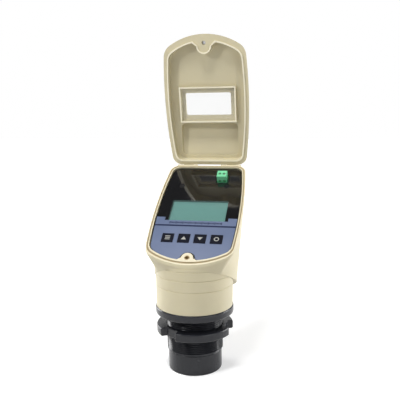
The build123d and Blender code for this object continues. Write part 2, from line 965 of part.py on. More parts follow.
# Power board and its components
with BuildPart() as power_board:
    with BuildSketch(Plane.XY.offset(power_height)):
        Circle(power_radius)
        with PolarLocations(power_post_circle, power_posts, start_angle=90):
            Circle(board_screw_radius + glue_gap, mode=Mode.SUBTRACT)
    extrude(amount=power_thick)
save(power_board.part, "power_board")

board_top = power_height + power_thick
with BuildPart() as drive_transformer:
    with BuildSketch(Plane.XY.offset(board_top)):
        with Locations(transformer_place):
            Rectangle(transformer_size[0], transformer_size[1])
    extrude(amount=transformer_size[2])
    chamfer(edges().filter_by(Axis.Z), transformer_edge)
    with BuildSketch(Plane.XY.offset(board_top + transformer_size[2])):
        with Locations(transformer_place):
            Rectangle(core_width, transformer_size[1] - 2 * transformer_edge)
    extrude(amount=core_height)
save(drive_transformer.part, "drive_transformer")

with BuildPart() as capacitors:
    with BuildSketch(Plane.XY.offset(board_top)):
        with Locations(*capacitor_places):
            Circle(capacitor_radius)
    extrude(amount=capacitor_height - capacitor_edge)
    with BuildSketch(Plane.XY.offset(board_top + capacitor_height - capacitor_edge)):
        with Locations(*capacitor_places):
            Circle(capacitor_radius)
    extrude(amount=capacitor_edge, taper=45)
save(capacitors.part, "capacitors")

with BuildPart() as lead_connector:
    with Locations((lead_shift, 0, power_height)):
        Box(*lead_socket, align=(Align.CENTER, Align.CENTER, Align.MAX))
save(lead_connector.part, "lead_connector")

# Ribbon from the power board to the back of the display board
socket_top = board_top + ribbon_socket[2]
board_rear = board_depth + board_thick
ribbon_end = face_point(ribbon_board_y, -board_rear - ribbon_socket[2])
with BuildPart() as ribbon_connectors:
    with Locations((0, ribbon_y, board_top)):
        Box(*ribbon_socket, align=(Align.CENTER, Align.CENTER, Align.MIN))
    with BuildSketch(face_plane.offset(-board_rear)):
        with Locations((0, ribbon_board_y)):
            Rectangle(ribbon_socket[0], ribbon_socket[1])
    extrude(amount=-ribbon_socket[2])
save(ribbon_connectors.part, "ribbon_connectors")

with BuildPart() as ribbon_cable:
    with BuildSketch(Plane.YZ):
        below_y, below_z = face_point(ribbon_board_y, -board_rear - ribbon_socket[2] - ribbon_lead)
        with BuildLine() as ribbon_route:
            FilletPolyline(
                (ribbon_y, socket_top),
                (ribbon_y, socket_top + ribbon_lead),
                (below_y, below_z),
                ribbon_end,
                radius=ribbon_bend,
            )
        trace(line_width=ribbon_thick)
    extrude(amount=ribbon_width / 2, both=True)
save(ribbon_cable.part, "ribbon_cable")

# Lid, drawn on its own plane as if it lay closed on the face
with BuildPart() as lid:
    rim_plane = lid_plane.offset(lid_gap)
    top_plane = lid_plane.offset(lid_height)
    with BuildSketch(rim_plane):
        draw_face()
    with BuildSketch(top_plane):
        draw_face(lid_taper, lid_taper, lid_taper)
    loft(ruled=True)
    fillet(faces().sort_by(Axis((0, 0, 0), lid_plane.z_dir))[-1].edges(), lid_round)
    # hump at the hinge end, over the terminals, its roof sloping down to the hinge
    hump_low = face_length - hump_front
    hump_length = hump_front - hump_back
    hump_middle = hump_low + hump_length / 2
    roof_turn = radians(hump_tilt)
    roof = Plane(
        origin=lid_plane.from_local_coords((0, hump_middle, hump_height)),
        x_dir=lid_plane.x_dir,
        z_dir=lid_plane.from_local_coords((0, sin(roof_turn), cos(roof_turn))) - lid_plane.origin,
    )
    with BuildSketch(lid_plane.offset(lid_height - hump_sink)):
        with Locations((0, hump_middle)):
            RectangleRounded(2 * hump_half, hump_length, hump_round)
    with BuildSketch(roof):
        RectangleRounded(
            2 * (hump_half - hump_taper), hump_length - 2 * hump_taper, hump_round - hump_taper / 2
        )
    loft(ruled=True)
    fillet(faces().sort_by(Axis((0, 0, 0), lid_plane.z_dir))[-1].edges(), lid_round)
    # inside: shallow recess over the keys and the display, deeper pocket over the terminals
    skirt_side = rim_side + part_gap
    skirt_nose = rim_nose + part_gap
    skirt_back = rim_hinge + skirt_hinge
    outer_notch = notch_radius + skirt_thick
    outer_flare = notch_flare + skirt_thick
    outer_shoulder = notch_shoulder + skirt_thick
    with BuildSketch(rim_plane):
        draw_face(skirt_side + skirt_thick, skirt_nose + skirt_thick, skirt_back + skirt_thick)
        with BuildSketch(Plane.XY, mode=Mode.SUBTRACT):
            draw_boss(outer_notch, notch_y, outer_flare, outer_shoulder)
    extrude(amount=lid_height - lid_top_wall - lid_gap, mode=Mode.SUBTRACT)
    with BuildSketch(roof.offset(-hump_wall)):
        RectangleRounded(
            2 * (hump_half - hump_taper - hump_wall + pocket_flare),
            hump_length - 2 * (hump_taper + hump_wall),
            hump_round - hump_wall,
        )
    extrude(amount=hump_height - hump_wall - lid_gap, dir=-lid_plane.z_dir, mode=Mode.SUBTRACT)
    # locating skirt, with its detour round the screw boss
    with BuildSketch(rim_plane):
        draw_face(skirt_side, skirt_nose, skirt_back)
        with BuildSketch(Plane.XY, mode=Mode.SUBTRACT):
            draw_face(skirt_side + skirt_thick, skirt_nose + skirt_thick, skirt_back + skirt_thick)
        with BuildSketch(Plane.XY):
            draw_boss(outer_notch, notch_y, outer_flare, outer_shoulder)
        with BuildSketch(Plane.XY, mode=Mode.INTERSECT):
            draw_face(skirt_side, skirt_nose, skirt_back)
        with BuildSketch(Plane.XY, mode=Mode.SUBTRACT):
            draw_boss(notch_radius, notch_y, notch_flare, notch_shoulder)
    extrude(amount=-skirt_depth)
    # window with its frame of ribs
    inner_face = lid_plane.offset(lid_height - lid_top_wall)
    with BuildSketch(inner_face):
        with Locations((0, window_y)):
            Rectangle(frame_width, frame_height)
            Rectangle(
                frame_width - 2 * frame_rib, frame_height - 2 * frame_rib, mode=Mode.SUBTRACT
            )
    extrude(amount=-frame_rise)
    with BuildSketch(inner_face):
        with Locations((0, window_y)):
            RectangleRounded(window_width, window_height, window_round)
    extrude(amount=lid_height, mode=Mode.SUBTRACT)
    # hole and seat of the lid screw
    with BuildSketch(lid_plane):
        with Locations((0, boss_y)):
            Circle(lid_screw_hole)
    extrude(amount=hump_height, mode=Mode.SUBTRACT)
    with BuildSketch(lid_plane.offset(lid_screw_seat)):
        with Locations((0, boss_y)):
            Circle(lid_screw_head + part_gap)
    extrude(amount=hump_height, mode=Mode.SUBTRACT)
    # ears that turn on the hinge pins
    for side in (-1, 1):
        ear_origin = lid_plane.from_local_coords((side * ear_x, 0, 0))
        with BuildSketch(Plane(origin=ear_origin, x_dir=lid_plane.y_dir, z_dir=(1, 0, 0))):
            pin_y = face_length + hinge_back
            with Locations((pin_y, -hinge_drop)):
                Circle(ear_radius)
            with BuildLine():
                Polyline(
                    (face_length - skirt_back, lid_gap + part_gap),
                    (face_length + part_gap, lid_gap + part_gap),
                    (face_length + part_gap, -hinge_drop),
                    (pin_y + ear_radius, -hinge_drop),
                    (pin_y + ear_radius, lid_gap),
                    (face_length - lid_round / 2, lid_height - lid_round),
                    (face_length - skirt_back, lid_height - lid_round),
                    close=True,
                )
            make_face()
            with Locations((pin_y, -hinge_drop)):
                Circle(pin_radius + run_gap, mode=Mode.SUBTRACT)
        extrude(amount=ear_width / 2, both=True)
save(lid.part, "lid")

with BuildPart() as lid_window:
    with BuildSketch(lid_plane.offset(lid_height - lid_top_wall)):
        with Locations((0, window_y)):
            Rectangle(
                frame_width - 2 * frame_rib - 2 * pane_gap,
                frame_height - 2 * frame_rib - 2 * pane_gap,
            )
    extrude(amount=-pane_thick)
save(lid_window.part, "lid_window")

with BuildPart() as lid_screw:
    head_seat = lid_screw_seat + lid_screw_seal + lid_screw_backed
    with BuildSketch(lid_plane.offset(head_seat)):
        with Locations((0, boss_y)):
            Circle(lid_screw_head)
    extrude(amount=lid_screw_head_height)
    chamfer(faces().sort_by(Axis((0, 0, 0), lid_plane.z_dir))[-1].edges(), lid_screw_edge)
    with BuildSketch(lid_plane.offset(head_seat + lid_screw_head_height)):
        with Locations((0, boss_y)):
            Rectangle(2 * lid_screw_head, slot_width)
    extrude(amount=-slot_depth, mode=Mode.SUBTRACT)
    with BuildSketch(lid_plane.offset(head_seat)):
        with Locations((0, boss_y)):
            Circle(lid_screw_radius)
    extrude(amount=lid_screw_tip + lid_screw_backed - head_seat)
save(lid_screw.part, "lid_screw")

with BuildPart() as lid_screw_seal_ring:
    with BuildSketch(lid_plane.offset(lid_screw_seat)):
        with Locations((0, boss_y)):
            Circle(lid_screw_head - part_gap)
            Circle(lid_screw_hole, mode=Mode.SUBTRACT)
    extrude(amount=lid_screw_seal)
save(lid_screw_seal_ring.part, "lid_screw_seal")

# Cable gland on the leaning back wall
flange_base = gland_gasket
stub_base = gland_gasket + gland_flange
stub_top = stub_base + gland_stub
with BuildPart() as gland_gasket_ring:
    with BuildSketch(gland_plane):
        Circle(gland_across / 2)
        Circle(gland_radius + glue_gap, mode=Mode.SUBTRACT)
    extrude(amount=gland_gasket)
save(gland_gasket_ring.part, "gland_gasket")

with BuildPart() as gland_body:
    with BuildSketch(gland_plane.offset(flange_base)):
        RegularPolygon(gland_across / 2, 6, major_radius=False)
    extrude(amount=gland_flange)
    with BuildSketch(gland_plane.offset(-gland_inside)):
        Circle(gland_radius)
    extrude(amount=gland_inside + stub_top)
    with BuildSketch(gland_plane.offset(-gland_inside)):
        Circle(gland_bore)
    extrude(amount=gland_inside + stub_top, mode=Mode.SUBTRACT)
    with BuildSketch(gland_plane.offset(stub_top)):
        Circle(seal_outer + glue_gap)
    extrude(amount=part_gap - gland_stub, mode=Mode.SUBTRACT)
save(gland_body.part, "gland_body")

with BuildPart() as gland_seal:
    with BuildSketch(gland_plane.offset(stub_base + part_gap)):
        Circle(seal_outer)
        Circle(seal_bore, mode=Mode.SUBTRACT)
    extrude(amount=seal_length)
save(gland_seal.part, "gland_seal")

with BuildPart() as gland_dome_nut:
    dome_base = stub_base + part_gap
    with BuildSketch(gland_plane.offset(dome_base)):
        RegularPolygon(gland_across / 2, 6, major_radius=False)
    extrude(amount=dome_height / 2)
    with BuildSketch(gland_plane.offset(dome_base + dome_height / 2)):
        Circle(gland_across / 2)
    extrude(amount=dome_height / 2)
    fillet(faces().sort_by(Axis((0, 0, 0), gland_plane.z_dir))[-1].edges(), dome_round)
    with BuildSketch(gland_plane.offset(dome_base)):
        Circle(gland_radius + run_gap)
    extrude(amount=dome_height - dome_roof, mode=Mode.SUBTRACT)
    with BuildSketch(gland_plane.offset(dome_base)):
        Circle(dome_opening)
    extrude(amount=dome_height, mode=Mode.SUBTRACT)
save(gland_dome_nut.part, "gland_dome_nut")

with BuildPart() as gland_lock_nut:
    with BuildSketch(gland_plane.offset(-gland_seat)):
        RegularPolygon(gland_across / 2, 6, major_radius=False)
        Circle(gland_radius + glue_gap, mode=Mode.SUBTRACT)
    extrude(amount=-gland_nut_height)
save(gland_lock_nut.part, "gland_lock_nut")
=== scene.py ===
"""Finishes, process thread, key symbols and studio of an ultrasonic level transmitter.

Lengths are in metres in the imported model's frame: +Z runs up the thread and the nose looks along -Y.
"""

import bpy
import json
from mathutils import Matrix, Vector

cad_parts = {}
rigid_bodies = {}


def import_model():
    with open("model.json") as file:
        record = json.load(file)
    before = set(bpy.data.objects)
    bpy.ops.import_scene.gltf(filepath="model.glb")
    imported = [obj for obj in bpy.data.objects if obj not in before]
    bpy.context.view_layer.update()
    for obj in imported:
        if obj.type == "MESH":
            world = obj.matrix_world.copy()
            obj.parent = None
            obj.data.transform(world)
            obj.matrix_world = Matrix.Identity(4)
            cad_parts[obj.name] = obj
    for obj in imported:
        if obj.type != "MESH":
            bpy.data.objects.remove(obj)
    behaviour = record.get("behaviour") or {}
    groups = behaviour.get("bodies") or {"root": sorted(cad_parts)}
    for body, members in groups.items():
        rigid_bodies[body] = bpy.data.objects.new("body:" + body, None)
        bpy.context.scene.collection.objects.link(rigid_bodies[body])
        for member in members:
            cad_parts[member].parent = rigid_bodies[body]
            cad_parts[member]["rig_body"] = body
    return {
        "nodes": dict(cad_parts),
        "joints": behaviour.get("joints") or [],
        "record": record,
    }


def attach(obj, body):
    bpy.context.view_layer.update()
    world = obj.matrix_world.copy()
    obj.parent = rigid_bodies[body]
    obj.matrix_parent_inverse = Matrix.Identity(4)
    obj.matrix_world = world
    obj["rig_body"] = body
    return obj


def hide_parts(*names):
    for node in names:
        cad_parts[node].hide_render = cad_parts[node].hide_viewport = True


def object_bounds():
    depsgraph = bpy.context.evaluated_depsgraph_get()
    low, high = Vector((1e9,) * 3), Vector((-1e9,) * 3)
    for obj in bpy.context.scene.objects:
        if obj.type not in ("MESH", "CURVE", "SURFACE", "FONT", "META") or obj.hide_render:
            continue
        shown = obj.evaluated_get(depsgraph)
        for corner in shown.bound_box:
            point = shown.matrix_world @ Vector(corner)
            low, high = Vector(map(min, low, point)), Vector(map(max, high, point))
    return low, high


bl_info = {
    "name": "Level Transmitter Looks",
    "version": (1, 0, 0),
    "blender": (4, 5, 0),
    "location": "3D View > Sidebar > Transmitter",
    "description": "Finishes, process thread, key symbols and studio of a non-contact level transmitter",
    "category": "Object",
}

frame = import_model()

import json
import math

import bmesh
import bpy
from bpy.props import FloatProperty, FloatVectorProperty, IntProperty, PointerProperty
from mathutils import Matrix, Vector

cad_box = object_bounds()

# How closely the CAD's meshes are read, in metres.
same_place = 3e-6
same_height = 1e-5
same_radius = 2e-5

# Turns between two faces: the most within a flat face, and the least at an edge.
flat_turn = math.radians(0.3)
flange_turn = math.radians(30)
edge_turn = math.radians(32)
thread_turn = math.radians(38)

# Noise values between which a finish drifts from one look to the other.
drift_low = 0.3
drift_high = 0.7


def colour(name, text, value):
    """A colour that the user can change, in linear red, green and blue."""
    return FloatVectorProperty(
        name=name, description=text, subtype="COLOR", size=3, min=0.0, max=1.0, default=value
    )


def length(name, text, value):
    """A length that the user can change, in metres."""
    return FloatProperty(
        name=name, description=text, subtype="DISTANCE", unit="LENGTH", min=0.0, precision=5,
        default=value,
    )


def degrees(name, text, value):
    """An angle that the user can change, with its default in degrees."""
    return FloatProperty(name=name, description=text, subtype="ANGLE", default=math.radians(value))


def watts(name, text, value):
    """A lamp's power that the user can change, in watts."""
    return FloatProperty(name=name, description=text, unit="POWER", default=value)


def number(name, text, value):
    """A plain number that the user can change."""
    return FloatProperty(name=name, description=text, default=value)


def whole(name, text, least, value):
    """A whole number that the user can change."""
    return IntProperty(name=name, description=text, min=least, default=value)


class FinishSettings(bpy.types.PropertyGroup):
    """Colours, edge roundings and painted highlight bands of the visible pieces."""

    shell: colour("Shell", "Beige moulded plastic of the housing and lid", (0.630, 0.568, 0.388))
    # Rim is a painted highlight: a lighter beige on the top of the rim and the screw boss, which are the
    # same plastic as the shell.
    rim: colour("Rim", "Polished top of the rim and the screw boss", (0.735, 0.665, 0.475))
    # Lip is a painted highlight: a light cream on the edges of the lid's skirt and window frame, which are
    # the same plastic as the shell.
    lip_highlight: colour("Lip", "Polished cream edges of the lid's skirt and window frame", (0.90, 0.84, 0.66))
    lip_depth: length("Lip depth", "How far the locating skirt stands out of the lid", 0.0014)
    frame_below: length("Frame below", "Distance from the skirt's edge to the window frame's", 0.0065)
    # The depth of the painted highlight bands on the edges of the lid and rim.
    highlight_band: length("Edge band", "Depth over which an edge of the lid or rim is polished", 0.0004)
    hinge_clear: length("Hinge clear", "Height above the hinge from which the skirt is looked for", 0.004)
    nylon: colour("Nylon", "Black plastic of the process connection and lock nut", (0.014, 0.015, 0.019))
    panel: colour("Panel", "Glossy black front panel", (0.006, 0.006, 0.007))
    film: colour("Film", "Blue-grey keypad film", (0.102, 0.140, 0.250))
    key: colour("Key", "Near-black keys", (0.006, 0.007, 0.014))
    symbol: colour("Symbol", "Light print on the keys", (0.38, 0.38, 0.35))
    rule: colour("Rule", "Dark print on the film", (0.020, 0.026, 0.062))
    display: colour("Display", "Teal-grey liquid crystal", (0.200, 0.460, 0.415))
    terminal: colour("Terminal", "Mint-green terminal block", (0.17, 0.62, 0.33))
    # The gasket's olive-brown is painted shade: the colour of the shaded groove, given to a rubber gasket.
    gasket: colour("Gasket", "Olive-brown lid gasket", (0.36, 0.28, 0.155))
    shell_edge: length("Shell edge", "Rounding of the shell's edges", 0.00035)
    nylon_edge: length("Nylon edge", "Rounding of the black pieces' edges", 0.0006)
    small_edge: length("Small edge", "Rounding of keys and terminal block", 0.0002)


class ThreadSettings(bpy.types.PropertyGroup):
    """The process thread, and where to look for it on the plain tube."""

    pitch: length("Pitch", "Rise of the thread in one turn", 0.002)
    depth: length("Depth", "Depth of the thread's groove", 0.0011)
    run_out: length("Run-out", "Length over which the groove fades at both ends", 0.002)
    crest_share: number("Crest share", "Share of half a pitch that is crest", 0.12)
    root_share: number("Root share", "Share of half a pitch at which the root begins", 0.88)
    around: whole("Around", "Faces round the thread", 48, 180)
    rows: whole("Rows", "Rows of faces in one pitch", 4, 8)
    flange_clear: length("Flange clear", "Distance below the flange's seat where the search starts", 0.001)
    chamfer: length("Chamfer", "Most height of the chamfers at the plain thread's ends", 0.002)
    flange_share: number("Flange share", "Least radius of the flange's edges in thread radii", 1.3)


class PrintSettings(bpy.types.PropertyGroup):
    """Symbols on the keys and the print on the keypad film."""

    thickness: length("Thickness", "Height of the print above its surface", 0.00004)
    arrow: length("Arrow", "Width of the arrows on the keys", 0.0054)
    rule_below: length("Rule", "Distance of the rule below the display", 0.0078)
    rule_width: length("Rule width", "Width of the rule", 0.0021)
    scale_below: length("Scale", "Distance of the tick scale below the display", 0.0036)
    scale_length: length("Scale length", "Length of the tick scale", 0.056)
    tick_height: length("Tick height", "Height of a short tick", 0.0020)
    tick_width: length("Tick width", "Width of a tick", 0.0009)
    ticks: whole("Ticks", "Number of ticks in the scale", 2, 41)
    long_every: whole("Long every", "Ticks from one long tick to the next", 1, 5)
    longer_by: number("Longer by", "Share by which a long tick is longer", 0.6)


class StudioSettings(bpy.types.PropertyGroup):
    """Camera, lamps and background."""

    turn: degrees("Turn", "Camera's turn round the thread's axis", 13.06)
    reach: length("Reach", "Level distance from the thread's axis to the camera", 0.5626)
    height: length("Height", "Camera's height", 0.2661)
    pitch: degrees("Pitch", "Camera's downward tilt", 8.63)
    yaw: degrees("Yaw", "Camera's turn away from the axis", -0.69)
    roll: degrees("Roll", "Camera's roll", -0.61)
    lens: FloatProperty(
        name="Lens", description="Focal length on a 36 mm sensor", subtype="DISTANCE_CAMERA",
        default=49.23,
    )
    key_lamp: watts("Key lamp", "Power of the high front lamp", 4.2)
    edge_lamp: watts("Edge lamp", "Power of the overhead lamp that lights the edges", 5.0)
    left_lamp: watts("Left lamp", "Power of the small left lamp", 2.6)
    right_lamp: watts("Right lamp", "Power of the soft right lamp", 1.7)
    rim_lamp: watts("Rim lamps", "Power of each lamp behind", 5.0)
    sky: number("Sky", "Strength of the surrounding light", 0.11)
    ceiling: number("Ceiling", "Brightness of the dark ceiling in glossy surfaces", 0.08)
    wall_top: number("Wall top", "Height share at which the white wall starts to fade", 0.45)
    ceiling_start: number("Ceiling start", "Height share at which the ceiling is fully dark", 0.75)
    floor_half: length("Floor", "Half the width of the floor", 6.0)
    floor_seen: number("Floor seen", "Floor's grey to the camera", 0.86)
    floor_lit: number("Floor lit", "Floor's grey as it lights the object", 0.55)
    floor_glow: number("Floor glow", "Light that the camera sees added to the floor", 0.40)
    far_glow: number("Far glow", "The same light, far from the object", 1.0)
    glow_start: length("Glow start", "Distance at which the floor's added light starts to grow", 0.15)
    glow_end: length("Glow end", "Distance at which the added light is at its full", 0.8)


def settings(name):
    """One of the property groups, by its name on the scene."""
    return getattr(bpy.context.scene, name)


def feed(tree, socket, value):
    """Gives a socket a plain number, or links it to another socket."""
    if isinstance(value, (int, float)):
        socket.default_value = value
    else:
        tree.links.new(value, socket)


def maths(tree, operation, *values):
    """The result of a maths node on sockets or plain numbers."""
    node = tree.nodes.new("ShaderNodeMath")
    node.operation = operation
    for socket, value in zip(node.inputs, values):
        feed(tree, socket, value)
    return node.outputs[0]


def remap(tree, value, start, end, low=0.0, high=1.0, curve="LINEAR"):
    """The value moved from the span between start and end to the span between low and high."""
    node = tree.nodes.new("ShaderNodeMapRange")
    node.interpolation_type = curve
    feed(tree, node.inputs["Value"], value)
    feed(tree, node.inputs["From Min"], start)
    feed(tree, node.inputs["From Max"], end)
    feed(tree, node.inputs["To Min"], low)
    feed(tree, node.inputs["To Max"], high)
    return node.outputs["Result"]


def joined(tree, x=0.0, y=0.0, z=0.0):
    """A vector joined from sockets or plain numbers."""
    node = tree.nodes.new("ShaderNodeCombineXYZ")
    for socket, value in zip(node.inputs, (x, y, z)):
        feed(tree, socket, value)
    return node.outputs[0]


def split(tree, vector):
    """The parts of a vector, as sockets named X, Y and Z."""
    node = tree.nodes.new("ShaderNodeSeparateXYZ")
    tree.links.new(vector, node.inputs[0])
    return node.outputs


def own_place(tree):
    """The object's own coordinates."""
    return tree.nodes.new("ShaderNodeTexCoord").outputs["Object"]


def new_finish(name):
    """A new material, with its node tree and its shader."""
    finish = bpy.data.materials.new(name)
    finish.use_nodes = True
    tree = finish.node_tree
    return finish, tree, tree.nodes["Principled BSDF"]


def noise_on(tree, grain, detail=3.0):
    """Noise on the object's own coordinates, with features of a given size."""
    noise = tree.nodes.new("ShaderNodeTexNoise")
    noise.inputs["Scale"].default_value = 1.0 / grain
    noise.inputs["Detail"].default_value = detail
    tree.links.new(own_place(tree), noise.inputs["Vector"])
    return noise.outputs["Fac"]


def mottle(tree, shader, noise, base, spread):
    """Lets the colour drift lighter and darker by a small share."""
    ramp = tree.nodes.new("ShaderNodeValToRGB")
    ramp.color_ramp.elements[0].position = drift_low
    ramp.color_ramp.elements[0].color = (*[c * (1 - spread) for c in base], 1)
    ramp.color_ramp.elements[1].position = drift_high
    ramp.color_ramp.elements[1].color = (*[min(1.0, c * (1 + spread)) for c in base], 1)
    tree.links.new(noise, ramp.inputs["Fac"])
    tree.links.new(ramp.outputs["Color"], shader.inputs["Base Color"])


def vary_roughness(tree, shader, noise, low, high):
    """Lets the roughness drift between two values."""
    roughness = remap(tree, noise, drift_low, drift_high, low, high)
    tree.links.new(roughness, shader.inputs["Roughness"])


def emboss(tree, shader, texture, depth):
    """Raises the surface's normal by a texture of a given depth."""
    bump = tree.nodes.new("ShaderNodeBump")
    bump.inputs["Distance"].default_value = depth
    bump.inputs["Strength"].default_value = 0.6
    tree.links.new(texture, bump.inputs["Height"])
    tree.links.new(bump.outputs["Normal"], shader.inputs["Normal"])


def moulded(
    name, base, rough, grain=0.0006, depth=0.00002, spread=0.03, blotch=0.03, metal=0.0, mirror=0.5
):
    """Moulded or plated finish: colour and gloss drift over blotches, with a fine grain.

    Grain, depth and blotch are sizes in metres. Spread is the colour's drift as a share, and mirror
    the strength of reflections.
    """
    finish, tree, shader = new_finish(name)
    drift = noise_on(tree, blotch)
    mottle(tree, shader, drift, base, spread)
    vary_roughness(tree, shader, drift, *rough)
    emboss(tree, shader, noise_on(tree, grain, detail=2.0), depth)
    shader.inputs["Metallic"].default_value = metal
    shader.inputs["Specular IOR Level"].default_value = mirror
    return finish


def shell_plastic():
    """Beige shell plastic: fine spark grain, faint blotches and a little light inside."""
    finish = moulded(
        "shell_plastic", settings("finishes").shell, rough=(0.38, 0.50),
        grain=0.0005, depth=0.000025, spread=0.035, blotch=0.045,
    )
    shader = finish.node_tree.nodes["Principled BSDF"]
    shader.inputs["Subsurface Weight"].default_value = 0.08
    shader.inputs["Subsurface Radius"].default_value = (0.004, 0.003, 0.0015)
    return finish


def see_through(name, tint, alpha):
    """Clear pane: mostly transparent, with faint smears in its gloss."""
    finish, tree, shader = new_finish(name)
    smear = noise_on(tree, grain=0.02)
    mottle(tree, shader, smear, tint, spread=0.02)
    vary_roughness(tree, shader, smear, low=0.03, high=0.08)
    shader.inputs["Alpha"].default_value = alpha
    shader.inputs["IOR"].default_value = 1.49
    return finish


def board_finish():
    """Green circuit board with a faint weave."""
    threads_per_metre = 1500.0
    finish, tree, shader = new_finish("circuit_board")
    mottle(tree, shader, noise_on(tree, grain=0.012), (0.02, 0.14, 0.05), spread=0.12)
    weave = tree.nodes.new("ShaderNodeTexChecker")
    weave.inputs["Scale"].default_value = threads_per_metre
    tree.links.new(own_place(tree), weave.inputs["Vector"])
    emboss(tree, shader, weave.outputs["Fac"], depth=0.00001)
    shader.inputs["Roughness"].default_value = 0.4
    return finish


def paint(finish, *nodes):
    """Gives a finish to CAD nodes that stay as they are."""
    for node in nodes:
        mesh = frame["nodes"][node].data
        mesh.materials.clear()
        mesh.materials.append(finish)


def joint(name):
    """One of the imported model's joints."""
    return next(j for j in frame["joints"] if j["name"] == name)


def seat_piece(piece, node):
    """Lets a piece stand for a CAD node on its body, and hides the node."""
    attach(piece, frame["nodes"][node]["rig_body"])
    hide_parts(node)


def show(name, data):
    """A new object in the scene, made of a mesh, a light or a camera."""
    made = bpy.data.objects.new(name, data)
    bpy.context.collection.objects.link(made)
    return made


def settle(shape, name, finish):
    """The finished mesh of a shape in the making."""
    mesh = bpy.data.meshes.new(name)
    shape.to_mesh(mesh)
    shape.free()
    mesh.materials.append(finish)
    return mesh


def take_mesh(draft):
    """The plain mesh of a draft with its modifiers applied; the draft itself goes."""
    view = bpy.context.evaluated_depsgraph_get()
    mesh = bpy.data.meshes.new_from_object(draft.evaluated_get(view))
    bpy.data.objects.remove(draft)
    return mesh


def merged(node, flatten=True):
    """A CAD node's mesh as a shape in the making, with merged corners and undivided flat faces."""
    shape = bmesh.new()
    shape.from_mesh(frame["nodes"][node].data)
    bmesh.ops.remove_doubles(shape, verts=shape.verts[:], dist=same_place)
    if flatten:
        bmesh.ops.dissolve_limit(shape, angle_limit=flat_turn, verts=shape.verts[:], edges=shape.edges[:])
    return shape


def smooth_by_angle(mesh, turn):
    """Shades a mesh smooth, apart from edges where it turns by more than an angle."""
    shape = bmesh.new()
    shape.from_mesh(mesh)
    for face in shape.faces:
        face.smooth = True
    for edge in shape.edges:
        edge.smooth = len(edge.link_faces) == 2 and edge.calc_face_angle(0.0) < turn
    shape.to_mesh(mesh)
    shape.free()


def round_edges(node, edge, finish):
    """A copy of a CAD node with merged faces and rounded edges, which stands for the node."""
    mesh = settle(merged(node), f"{node}_finished", finish)
    smooth_by_angle(mesh, edge_turn)
    draft = show(f"{node}_draft", mesh)
    bevel = draft.modifiers.new("edges", "BEVEL")
    bevel.limit_method = "ANGLE"
    bevel.angle_limit = edge_turn
    bevel.width = edge
    bevel.segments = 2
    bevel.miter_outer = "MITER_ARC"
    bevel.use_clamp_overlap = True
    weigh = draft.modifiers.new("normals", "WEIGHTED_NORMAL")
    weigh.keep_sharp = True
    piece = show(f"{node}_finished", take_mesh(draft))
    seat_piece(piece, node)
    return piece


def shade_smooth_copy(node, finish):
    """A copy of a CAD node with merged vertices and smooth curves, which stands for the node."""
    mesh = settle(merged(node, flatten=False), f"{node}_finished", finish)
    smooth_by_angle(mesh, edge_turn)
    seat_piece(show(f"{node}_finished", mesh), node)


class SlopedFace:
    """The sloped face's own directions, read from the travel of its keys."""

    def __init__(self):
        self.out = -Vector(joint("up_press")["axis"]).normalized()
        self.right = Vector((1, 0, 0))
        self.up = self.out.cross(self.right)

    def measure(self, node):
        """Least and most of a node's x, its distance up the slope and its height on the face."""
        found = [
            (v.co.dot(self.right), v.co.dot(self.up), v.co.dot(self.out))
            for v in frame["nodes"][node].data.vertices
        ]
        low = [min(p[i] for p in found) for i in range(3)]
        high = [max(p[i] for p in found) for i in range(3)]
        return low, high

    def half_width(self, node, along):
        """Half width of a node where a level line crosses it."""
        mesh = frame["nodes"][node].data
        widest = 0.0
        for edge in mesh.edges:
            a, b = (mesh.vertices[i].co for i in edge.vertices)
            ua, ub = a.dot(self.up) - along, b.dot(self.up) - along
            if ua * ub < 0:
                widest = max(widest, abs(a.x + (b.x - a.x) * ua / (ua - ub)))
        return widest

    def matrix(self, x, along, height):
        """Places something drawn in a plane onto the face."""
        turn = Matrix((self.right, self.up, self.out)).transposed().to_4x4()
        return Matrix.Translation(self.right * x + self.up * along + self.out * height) @ turn


def prism(shape, points, thickness):
    """Adds a flat printed shape of a given thickness to a shape in the making."""
    low = [shape.verts.new((x, y, 0)) for x, y in points]
    high = [shape.verts.new((x, y, thickness)) for x, y in points]
    shape.faces.new(low[::-1])
    shape.faces.new(high)
    for i in range(len(points)):
        j = (i + 1) % len(points)
        shape.faces.new((low[i], low[j], high[j], high[i]))


def bar(x, y, width, height):
    """Corners of an upright bar round a centre."""
    return [
        (x - width / 2, y - height / 2), (x + width / 2, y - height / 2),
        (x + width / 2, y + height / 2), (x - width / 2, y + height / 2),
    ]


def ring(outer, inner, steps=40):
    """A flat ring as a row of four-cornered stretches."""
    turns = [2 * math.pi * i / steps for i in range(steps + 1)]
    return [
        [(r * math.cos(t), r * math.sin(t)) for r, t in ((outer, a), (outer, b), (inner, b), (inner, a))]
        for a, b in zip(turns, turns[1:])
    ]


def printed(name, outlines, place, finish, body):
    """A printed mark made of flat outlines, placed on the face."""
    shape = bmesh.new()
    for points in outlines:
        prism(shape, points, settings("prints").thickness)
    shape.transform(place)
    bmesh.ops.recalc_face_normals(shape, faces=shape.faces[:])
    piece = show(name, settle(shape, name, finish))
    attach(piece, body)


def new_tree(name, lengths, counts):
    """A new geometry node tree with named inputs, a material and one output."""
    tree = bpy.data.node_groups.new(name, "GeometryNodeTree")
    kinds = (
        ("NodeSocketFloat", lengths), ("NodeSocketInt", counts), ("NodeSocketMaterial", ("Material",)),
    )
    for kind, names in kinds:
        for label in names:
            tree.interface.new_socket(label, in_out="INPUT", socket_type=kind)
    tree.interface.new_socket("Geometry", in_out="OUTPUT", socket_type="NodeSocketGeometry")
    return tree, tree.nodes.new("NodeGroupInput").outputs


def finish_tree(tree, geometry, material):
    """Ends a node tree with real geometry and its material."""
    real = tree.nodes.new("GeometryNodeRealizeInstances")
    tree.links.new(geometry, real.inputs[0])
    coat = tree.nodes.new("GeometryNodeSetMaterial")
    tree.links.new(real.outputs[0], coat.inputs["Geometry"])
    tree.links.new(material, coat.inputs["Material"])
    end = tree.nodes.new("NodeGroupOutput")
    tree.links.new(coat.outputs[0], end.inputs[0])


